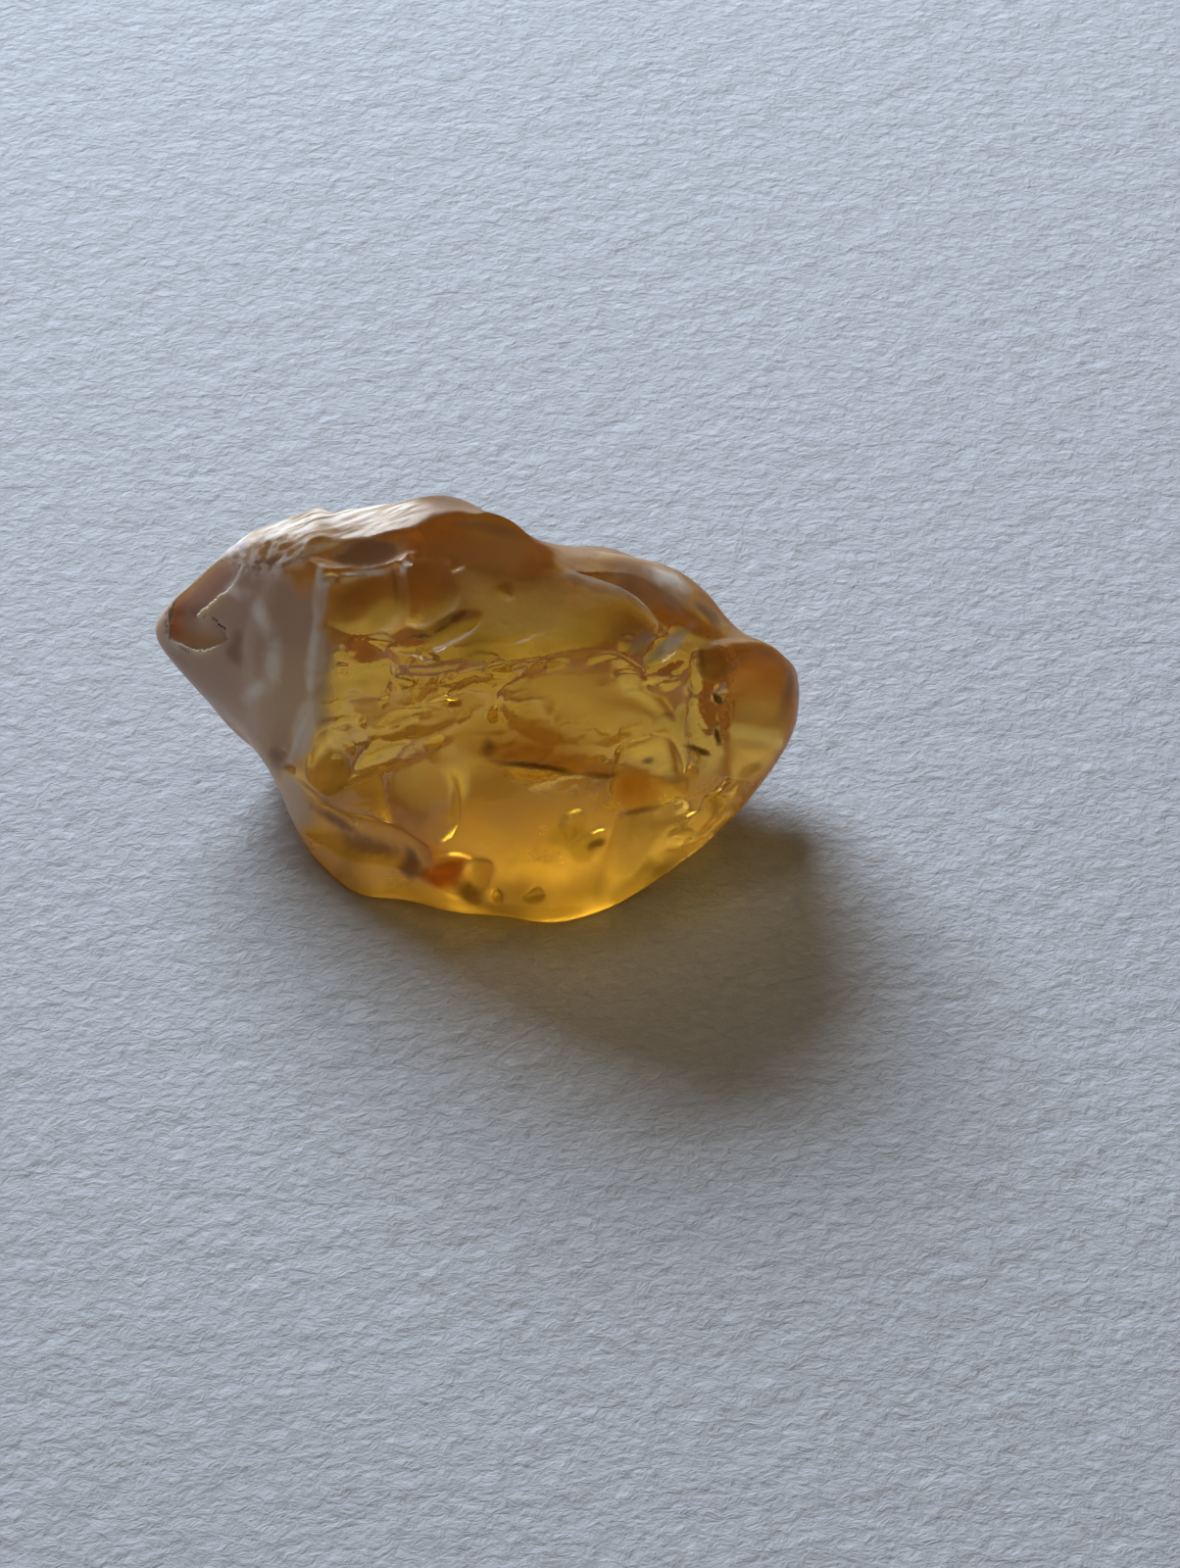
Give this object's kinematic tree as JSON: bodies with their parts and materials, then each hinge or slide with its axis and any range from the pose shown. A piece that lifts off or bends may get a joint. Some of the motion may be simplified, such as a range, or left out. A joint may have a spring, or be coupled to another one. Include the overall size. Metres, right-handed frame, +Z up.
{
  "type": "rough zircon crystal",
  "caption": "Rough amber zircon: one glassy, water-worn crystal piece with flat facets, a broken cove and a blunt knob at one end.",
  "frame": {"origin": "middle of the bounding box, at the level of the flat underside", "axes": "+X along the stone's length, from the blunt knob to the rounded lobe; the showing side faces -Y; +Z up"},
  "size_m": [0.0118, 0.0066, 0.006],
  "materials": {
    "zircon": "glassy, worn satin on the back and underside"
  },
  "bodies": {
    "root": {"zircon": "zircon"}
  },
  "joints": []
}
